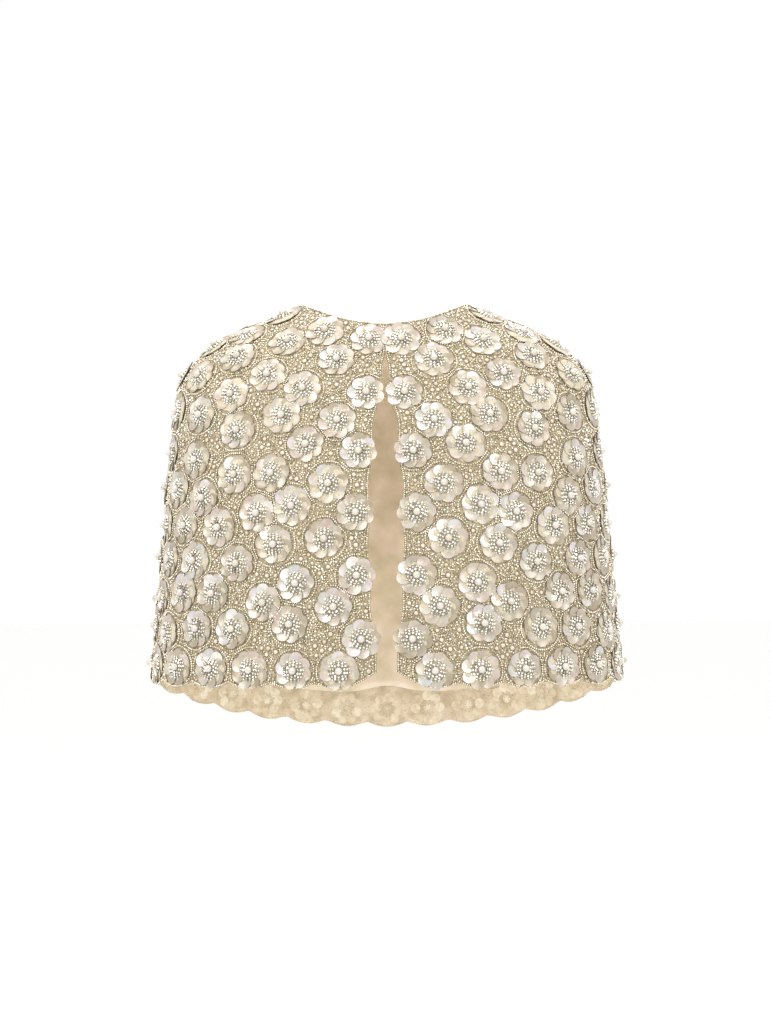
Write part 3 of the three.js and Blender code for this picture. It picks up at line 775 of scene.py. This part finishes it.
# The flowers of the whole capelet, and the two directions in the cloth and the one out of it at each.
half_angle, half_down = loosened(*spread_flowers(starting_flowers()))
other_half = half_angle < QUARTER - 1e-6
flower_angle = np.concatenate([half_angle, math.pi - half_angle[other_half]])
flower_down = np.concatenate([half_down, half_down[other_half]])
flower_at = cloth(flower_angle, flower_down)
flower_number = np.arange(len(flower_angle))
flower_radius = FLOWER_RADIUS + FLOWER_RADIUS_MORE * varied(flower_number, 1)
flower_turn = varied(flower_number, 2) * TURN / PETALS
flower_panel = np.where(
    flower_angle < 0, "front_left", np.where(flower_angle > math.pi, "front_right", "back")
)


def bases_at(angle, down):
    """Axes at places on the cloth: round the body, up the cloth, and out."""
    round_body, fall = slopes(angle, down)
    out = unit(np.cross(fall, round_body))
    east = unit(round_body)
    return np.stack([east, np.cross(out, east), out], axis=1)


flower_axes = bases_at(flower_angle, flower_down)


def spun(axes, turn):
    """Axes turned about their outward one."""
    cos, sin = np.cos(turn)[:, None], np.sin(turn)[:, None]
    first, second = axes[:, 0] * cos + axes[:, 1] * sin, axes[:, 1] * cos - axes[:, 0] * sin
    return np.stack([first, second, axes[:, 2]], axis=1)


def leaned(axes, tilt, twist):
    """Axes whose first one rises by a tilt, and whose second one then rises by a twist, in radians."""
    cos, sin = np.cos(tilt)[:, None], np.sin(tilt)[:, None]
    first, out = axes[:, 0] * cos + axes[:, 2] * sin, axes[:, 2] * cos - axes[:, 0] * sin
    cos, sin = np.cos(twist)[:, None], np.sin(twist)[:, None]
    return np.stack([first, axes[:, 1] * cos + out * sin, out * cos - axes[:, 1] * sin], axis=1)


def places_round(chosen, count, start, reach):
    """Count places round each chosen flower at a reach from its middle, and the ways out to them."""
    index = np.repeat(chosen, count)
    turn = start[:, None] + np.arange(count)[None, :] / count * TURN
    away = spun(flower_axes[index], turn.ravel())[:, 0] * np.reshape(reach, (-1, 1))
    angle, down = stepped(flower_angle[index], flower_down[index], away)
    return angle, down, away


def facing(angle, down, away):
    """Points on the cloth, and axes there whose first one points the way given."""
    out = outward(angle, down)
    first = unit(away - out * dots(away, out)[:, None])
    return cloth(angle, down), np.stack([first, np.cross(out, first), out], axis=1)


def round_flowers(chosen, count, start, reach):
    return facing(*places_round(chosen, count, start, reach))


def petals_round(chosen, petals):
    """Cupped sequins round each flower, each lapping over the next one, the stitch that holds each, and which
    of them take the painted highlight: mostly a few next to each other, more often on the side that the light
    comes from."""
    count = petals * len(chosen)
    loose = math.radians(PETAL_LOOSE)
    reach = np.repeat(flower_radius[chosen], petals) * PETAL_OUT * chance.normal(1, PETAL_OUT_LOOSE, count)
    at, axes = round_flowers(chosen, petals, flower_turn[chosen], reach)
    own = chance.normal(*FLOWER_PAINTED_GLINT, len(chosen))
    # Painted highlights: petals on the light's side are more often given the painted-glint finish.
    toward = axes[:, 0] @ np.array(PAINTED_GLINT_SIDE) + np.repeat(own, petals)
    painted_glint_mask = chance.uniform(0, 1, count) < np.clip(PAINTED_GLINT_CHANCE + PAINTED_GLINT_BY_SIDE * toward, *PAINTED_GLINT_LIMITS)
    axes = spun(axes, chance.normal(0, loose / 2, count))
    tilt = math.radians(PETAL_TILT) + chance.normal(0, loose, count)
    twist = math.radians(PETAL_TWIST) + chance.normal(0, loose / 2, count)
    axes = leaned(axes, tilt, twist)
    origins = at + axes[:, 2] * PETAL_HEIGHT
    cups = stamped(SEQUIN, origins, axes, PETAL_RADIUS * chance.uniform(*PETAL_SIZES, count)[:, None])
    holes = origins - axes[:, 0] * PETAL_RADIUS * STITCH_IN + axes[:, 2] * STITCH_HEIGHT
    return cups, stamped(KNOT, holes, axes, STITCH_RADIUS), painted_glint_mask


def petals_on(chosen):
    """The petals of the chosen flowers, most with eight and some with seven."""
    seven = varied(chosen, 3) < SEVEN_PETALS
    rings = [petals_round(chosen[~seven], PETALS), petals_round(chosen[seven], PETALS - 1)]
    cups = together([ring[0] for ring in rings])
    which = np.repeat(np.concatenate([ring[2] for ring in rings]), len(SEQUIN[1]))
    return cups, together([ring[1] for ring in rings]), which


def stones_on(chosen):
    """Three rings of cut stones round the middle of each flower."""
    parts = []
    for count, out, radius, height in STONE_RINGS:
        at, axes = round_flowers(chosen, count, flower_turn[chosen] + out, np.full(count * len(chosen), out))
        origins = at + axes[:, 2] * height
        lean, twist = chance.normal(*STONE_LEAN, len(axes)), chance.normal(*STONE_TWIST, len(axes))
        sizes = radius * chance.uniform(*STONE_SIZES, len(axes))[:, None]
        parts.append(stamped(STONE, origins, leaned(axes, lean, twist), sizes))
    return together(parts)


def one_each(shape, chosen, height, size):
    """One shape at the middle of each chosen flower."""
    return stamped(shape, flower_at[chosen] + flower_axes[chosen, 2] * height, flower_axes[chosen], size)


class Spots:
    """Places that are taken, in a grid of cubes, so that beads don't land on each other."""

    def __init__(self):
        self.taken = {}

    def free(self, point, apart):
        x, y, z = (int(v // SPOT_CUBE) for v in point)
        for dx in (-1, 0, 1):
            for dy in (-1, 0, 1):
                for dz in (-1, 0, 1):
                    for other, room in self.taken.get((x + dx, y + dy, z + dz), ()):
                        gap = sum((p - q) ** 2 for p, q in zip(point, other))
                        if gap < (apart + room) ** 2:
                            return False
        return True

    def take(self, point, room):
        self.taken.setdefault(tuple(int(v // SPOT_CUBE) for v in point), []).append((point, room))


def rope_places():
    """Seed beads in a ring, or part of one, round each flower. Where two rings would cross they run side by
    side between the flowers."""
    angles, downs = [], []
    for i in flower_number:
        reach = flower_radius[i] + ROPE_OFF_PETALS
        share = np.interp(varied(i, 7), (0, 1), ROPE_SHARES)
        turn = varied(i, 6) * TURN + np.arange(0, share * TURN, ROPE_STEP / reach)
        away = flower_at - flower_at[i]
        near = (np.linalg.norm(away, axis=1) < ROPE_NEIGHBOURS * reach) & (flower_number != i)
        east, north, _ = flower_axes[i]
        x, y = away[near] @ east, away[near] @ north
        mine = reach / (reach + flower_radius[near] + ROPE_OFF_PETALS)
        along = (np.cos(turn)[:, None] * x + np.sin(turn)[:, None] * y) / (x**2 + y**2)
        limit = np.where(along > 0.01, mine / np.maximum(along, 0.01), np.inf).min(axis=1, initial=np.inf)
        out = np.minimum(reach, limit - ROPE_GAP)[:, None]
        step = (np.cos(turn)[:, None] * east + np.sin(turn)[:, None] * north) * out
        at = np.full(len(turn), flower_angle[i]), np.full(len(turn), flower_down[i])
        angle, down = stepped(*at, step)
        angles.append(angle)
        downs.append(down)
    return np.concatenate(angles), np.concatenate(downs)


def on_panel(panel, angle, down, margin):
    """Which places of the whole capelet lie on a panel."""
    turned_angle = math.pi - angle if PANELS[panel][2] < 0 else angle
    return inside_panel(panel, turned_angle, down, margin)


def kept_apart(points, room, spots):
    """Which of the points are free when each is taken in turn."""
    kept = np.zeros(len(points), dtype=bool)
    for i, point in enumerate(points.tolist()):
        if spots.free(point, room):
            spots.take(point, room)
            kept[i] = True
    return kept


def edge_places(panel, inset):
    """Places along the neckline, the hem and a front's slit, a little inside the edge."""
    start, end, side = PANELS[panel]
    s = np.linspace(0, 1, EDGE_TRIES)
    top = np.full(EDGE_TRIES, inset / SIDE_LENGTH)
    hem_angle = start(1.0) + (end(1.0) - start(1.0)) * s
    hem = hem_down(hem_angle) - inset / SIDE_LENGTH
    runs = [(start(line) + (end(line) - start(line)) * s, line) for line in (top, hem)]
    if panel != "back":
        down = s * hem_down(np.array([start(1.0)]))[0]
        runs.append((start(down) + inset / column("side", down), down))
    angle, down = (np.concatenate(parts) for parts in zip(*runs))
    return (angle if side > 0 else math.pi - angle), down


def beads_at(shape, angle, down, radius, height):
    """A turned shape at places on the cloth."""
    axes = bases_at(angle, down)
    origins = cloth(angle, down) + axes[:, 2] * np.asarray(height).reshape(-1, 1)
    return stamped(shape, origins, axes, np.asarray(radius).reshape(-1, 1))


sequin, painted_glint_finish, pearl, crystal = pearl_sequin(), painted_glint_pearl_sequin(), glass_pearl(), foiled_crystal()
rose, silver, gold, pale_gold = rose_glass(), silver_and_painted_gap_shade(), gold_seed_bead(), rope_seed_bead()
tulle, wrong_side, petal_back = beaded_tulle(), tulle_wrong_side(), petal_wrong_side()
lining_cloth, wire, thread, felt = nude_lining(), plated_wire(), stitch_thread(), pad_felt()


def shell(panel):
    """The tulle of a panel, a closed thin wall, with the beads' side out and a plain wrong side."""
    angle, down = grid_places(panel, SHELL_ACROSS[panel], SHELL_ALONG)
    points, faces = wall_between(cloth(angle, down), cloth(angle, down, np.full(angle.shape, -CLOTH_WALL)))
    points, faces = mirrored_piece(points, faces, PANELS[panel][2])
    face_count = SHELL_ACROSS[panel] * SHELL_ALONG
    inner = np.zeros(len(faces))
    inner[face_count : 2 * face_count] = 1
    made = piece("tulle_" + panel, points, faces, (tulle, wrong_side), which=inner)
    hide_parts(panel)
    return made


def lining():
    """The plain lining hangs just inside the back in a few soft folds. Its hem arches up behind the slit."""
    def last_down(angle):
        along = arc_at(QUARTER, 1.0) - arc_at(np.where(angle < QUARTER, angle, math.pi - angle), 1.0)
        return LINING_DOWN - LINING_ARCH / BACK_LENGTH * np.exp(-((along / LINING_ARCH_WIDTH) ** 2))

    angle, down = grid_places("back", LINING_ACROSS, LINING_ALONG, last_down)
    # Nine ripples for a whole turn, closer in some places than in others, that lean a little.
    ripple = 0.5 + 0.5 * np.sin(9 * angle + 2.2 * np.sin(3 * angle) + 1.5 * down)
    depth = CLOTH_WALL + SEAM_GAP + LINING_RIPPLE * ripple * down
    outer, inner = cloth(angle, down, -depth), cloth(angle, down, -depth - LINING_WALL)
    made = piece("lining_back", *wall_between(outer, inner), lining_cloth)
    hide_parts("back_lining")
    return made


def flower_pieces(panel):
    """Each panel's petals, stitches, pads, stones, settings and pearls, each kind in one mesh."""
    chosen = flower_number[flower_panel == panel]
    cups, stitches, which = petals_on(chosen)
    pad_radius = flower_radius[chosen, None] * PAD_SHARE
    # The settings' dark grey is partly painted shade in the gaps between the stones.
    settings = one_each(SETTING, chosen, SETTING_HEIGHT, SETTING_RADIUS)
    return [
        # The petals in the mask take the second finish, which is a painted highlight.
        piece("petals_" + panel, *cups, (sequin, painted_glint_finish), which=which, sharp_rims=True),
        piece("petal_stitches_" + panel, *stitches, thread),
        piece("pads_" + panel, *one_each(PAD, chosen, PAD_HEIGHT, pad_radius), felt, sharp_rims=True),
        piece("settings_" + panel, *settings, silver, sharp_rims=True),
        piece("stones_" + panel, *stones_on(chosen), crystal, smooth=False),
        piece("pearls_" + panel, *one_each(PEARL, chosen, PEARL_HEIGHT, PEARL_RADIUS), pearl),
    ]


def wrong_side_pieces(panel):
    """What shows through on the wrong side, where no lining covers it: petals, and knots of thread round
    their flowers and along the edges."""
    low = flower_down > LINING_DOWN if panel == "back" else flower_down > 0
    chosen = flower_number[(flower_panel == panel) & low]
    depth = CLOTH_WALL + GHOST_OUT
    reach = np.repeat(flower_radius[chosen], PETALS) * PETAL_OUT
    petals = behind(panel, chosen, DISC, PETALS, reach, GHOST_PETAL, depth)
    middles = one_each(DISC, chosen, -depth, GHOST_MIDDLE)
    knots = []
    for count, out in GHOST_KNOTS:
        reach = np.full(count * len(chosen), out)
        knots.append(behind(panel, chosen, KNOT, count, reach, GHOST_KNOT, depth + GHOST_OUT))
    edge = edge_places(panel, EDGE_BEAD_IN)
    free = kept_apart(cloth(*edge), HEM_KNOT_ROOM, Spots())
    knots.append(beads_at(KNOT, edge[0][free], edge[1][free], GHOST_KNOT, -CLOTH_WALL))
    return [
        piece("petal_backs_" + panel, *together([petals, middles]), petal_back, smooth=False),
        piece("knots_" + panel, *together(knots), thread),
    ]


def behind(panel, chosen, shape, count, reach, size, depth):
    """Copies of a shape round each chosen flower, on the wrong side, where the cloth is behind them."""
    angle, down, away = places_round(chosen, count, flower_turn[chosen], reach)
    on = on_panel(panel, angle, down, GHOST_IN * size)
    at, axes = facing(angle[on], down[on], away[on])
    return stamped(shape, at - axes[:, 2] * depth, axes, size)


def off_flowers(at):
    """How far places are from the petals of the nearest flower."""
    near = np.full(len(at), np.inf)
    for i in flower_number:
        near = np.minimum(near, np.linalg.norm(at - flower_at[i], axis=1) - flower_radius[i])
    return near


def filling_places():
    """Places all over the capelet where each kind of filling may go: clear of the petals."""
    places = {}
    for kind, (tries, room) in FILLING.items():
        angle = chance.uniform(-QUARTER, 3 * QUARTER, tries)
        down = chance.uniform(0, 1, tries)
        clear = off_flowers(cloth(angle, down)) > FILLING_OFF_PETALS * room
        places[kind] = angle[clear], down[clear]
    return places


def filling_of(panel, places, spots):
    """The places of each kind on a panel that are free when they are sewn in turn."""
    kept = {}
    for kind, (_, room) in FILLING.items():
        angle, down = places[kind]
        on = on_panel(panel, angle, down, room + FILLING_IN)
        angle, down = angle[on], down[on]
        free = kept_apart(cloth(angle, down), room, spots)
        kept[kind] = angle[free], down[free]
    return kept


def rosettes_at(angle, down):
    """A bead in a ring of seed beads."""
    axes = bases_at(angle, down)
    turn = np.tile(np.arange(ROSETTE_BEADS) / ROSETTE_BEADS * TURN, len(angle))
    ring = spun(np.repeat(axes, ROSETTE_BEADS, axis=0), turn)
    middles = cloth(angle, down) + axes[:, 2] * SEED_RADII[0]
    around = np.repeat(middles, ROSETTE_BEADS, axis=0) + ring[:, 0] * ROSETTE_RADIUS
    middle_beads = stamped(BEAD, middles, axes, SEED_RADII[1] * ROSETTE_MIDDLE)
    return together([middle_beads, stamped(BEAD, around, ring, SEED_RADII[0])])


def bugles_at(angle, down):
    """Short glass tubes that lie on the cloth, each at its own turn."""
    axes = spun(bases_at(angle, down), chance.uniform(0, TURN, len(angle)))
    lying = np.stack([axes[:, 1], axes[:, 2], axes[:, 0]], axis=1)
    origins = cloth(angle, down) + axes[:, 2] * BUGLE_SIZE[0]
    return stamped(BUGLE, origins, lying, np.array(BUGLE_SIZE))


def drawn(radii, count):
    """Radii drawn at random between the smallest and the largest."""
    return chance.uniform(*radii, count)


def bead_pieces(panel, ropes, filling):
    """A panel's edge rows, ropes and filling, each kind in one mesh."""
    spots = Spots()
    edge = edge_places(panel, EDGE_BEAD_IN)
    free = kept_apart(cloth(*edge), EDGE_BEAD_RADIUS * EDGE_BEAD_STRUNG, spots)
    edge = edge[0][free], edge[1][free]
    on = on_panel(panel, *ropes, ROPE_IN)
    rope = ropes[0][on], ropes[1][on]
    free = kept_apart(cloth(*rope), ROPE_RADIUS * ROPE_STRUNG, spots)
    rope = rope[0][free], rope[1][free]
    taken = Spots()
    for point in cloth(*rope).tolist():
        taken.take(point, ROPE_ROOM)
    for point in cloth(*edge).tolist():
        taken.take(point, EDGE_BEAD_RADIUS)
    sewn = filling_of(panel, filling, taken)
    cabochon_radius = drawn(CABOCHON_RADII, len(sewn["cabochon"][0]))
    stone_radius = drawn(GAP_STONE_RADII, len(sewn["stone"][0]))
    seed_radius = drawn(SEED_RADII, len(sewn["seed"][0]))
    edge_beads = beads_at(BEAD, *edge, EDGE_BEAD_RADIUS, EDGE_BEAD_HEIGHT)
    rope_beads = beads_at(BEAD, *rope, ROPE_RADIUS, ROPE_HEIGHT)
    cabochons = beads_at(CABOCHON, *sewn["cabochon"], cabochon_radius, CABOCHON_HEIGHT)
    rims = beads_at(RIM, *sewn["cabochon"], cabochon_radius + CABOCHON_RIM, RIM_HEIGHT)
    gap_stones = beads_at(STONE, *sewn["stone"], stone_radius, GAP_STONE_HEIGHT)
    seed_beads = beads_at(BEAD, *sewn["seed"], seed_radius, SEED_HEIGHT)
    return [
        piece("edge_beads_" + panel, *edge_beads, pale_gold),
        piece("rope_beads_" + panel, *rope_beads, pale_gold),
        piece("cabochons_" + panel, *cabochons, rose),
        piece("rims_" + panel, *rims, silver),
        piece("rosettes_" + panel, *rosettes_at(*sewn["rosette"]), gold),
        piece("gap_stones_" + panel, *gap_stones, crystal, smooth=False),
        piece("bugle_beads_" + panel, *bugles_at(*sewn["bugle"]), pale_gold),
        piece("seed_beads_" + panel, *seed_beads, gold),
    ]


def studio():
    """A pale floor, white surroundings and four soft lights."""
    world = bpy.data.worlds.new("white_room")
    world.use_nodes = True
    world.node_tree.nodes["Background"].inputs["Color"].default_value = (1, 1, 1, 1)
    world.node_tree.nodes["Background"].inputs["Strength"].default_value = 1.0
    bpy.context.scene.world = world
    bpy.context.scene.view_settings.view_transform = "Standard"
    floor = bpy.data.meshes.new("floor")
    reach, low = 30, -1.4
    corners = [(x * reach, y * reach, low) for x, y in ((-1, -1), (1, -1), (1, 1), (-1, 1))]
    floor.from_pydata(corners, [], [(0, 1, 2, 3)])
    ground = bpy.data.objects.new("floor", floor)
    bpy.context.scene.collection.objects.link(ground)
    material, _, _ = finish_of("pale_floor", Base_Color=srgb("#FEFEFD"), Roughness=0.9)
    floor.materials.append(material)
    # Each light: name, place, size, power in watts.
    for name, place, size, power in (
        ("window_left", (-1.9, -2.0, 1.3), 1.8, 55),
        ("window_right", (1.9, -2.2, 0.9), 1.8, 40),
        ("overhead", (0, -0.3, 2.2), 1.8, 40),
        ("behind", (0.5, 2.4, 0.9), 1.8, 45),
    ):
        light = bpy.data.lights.new(name, "AREA")
        light.size = size
        light.energy = power
        lamp = bpy.data.objects.new(name, light)
        lamp.location = place
        lamp.rotation_euler = (Vector((0, 0, -0.2)) - Vector(place)).to_track_quat("-Z", "Y").to_euler()
        bpy.context.scene.collection.objects.link(lamp)


# The photograph's view: one pixel is 1.07 mm in the plane through the side seams.
PIXEL = 1.07 * MM
FRAME_HEIGHT = 1024
CAMERA_AWAY = 2.2
CAMERA_HEIGHT = -0.240
CENTRE_HEIGHT = -0.2015
CENTRE_SIDE = -0.0005
CAMERA_ROLL = -0.35


def camera():
    data = bpy.data.cameras.new("camera")
    data.sensor_fit = "VERTICAL"
    data.sensor_height = 24
    data.lens = data.sensor_height * CAMERA_AWAY / (FRAME_HEIGHT * PIXEL)
    data.clip_end = 100
    made = bpy.data.objects.new("camera", data)
    pitch = math.atan2(CENTRE_HEIGHT - CAMERA_HEIGHT, CAMERA_AWAY)
    made.location = (CENTRE_SIDE, -CAMERA_AWAY, CAMERA_HEIGHT)
    made.rotation_euler = Euler((QUARTER + pitch, 0, 0))
    made.rotation_euler.rotate_axis("Z", math.radians(CAMERA_ROLL))
    bpy.context.scene.collection.objects.link(made)
    bpy.context.scene.camera = made


camera()
studio()
shells = {panel: shell(panel) for panel in PANELS}
back_lining = lining()
flowers = {panel: flower_pieces(panel) + wrong_side_pieces(panel) for panel in PANELS}
ropes = rope_places()
filling = filling_places()
beads = {panel: bead_pieces(panel, ropes, filling) for panel in PANELS}
for name in ("neck_hook", "neck_eye"):
    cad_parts[name].data.materials.clear()
    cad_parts[name].data.materials.append(wire)
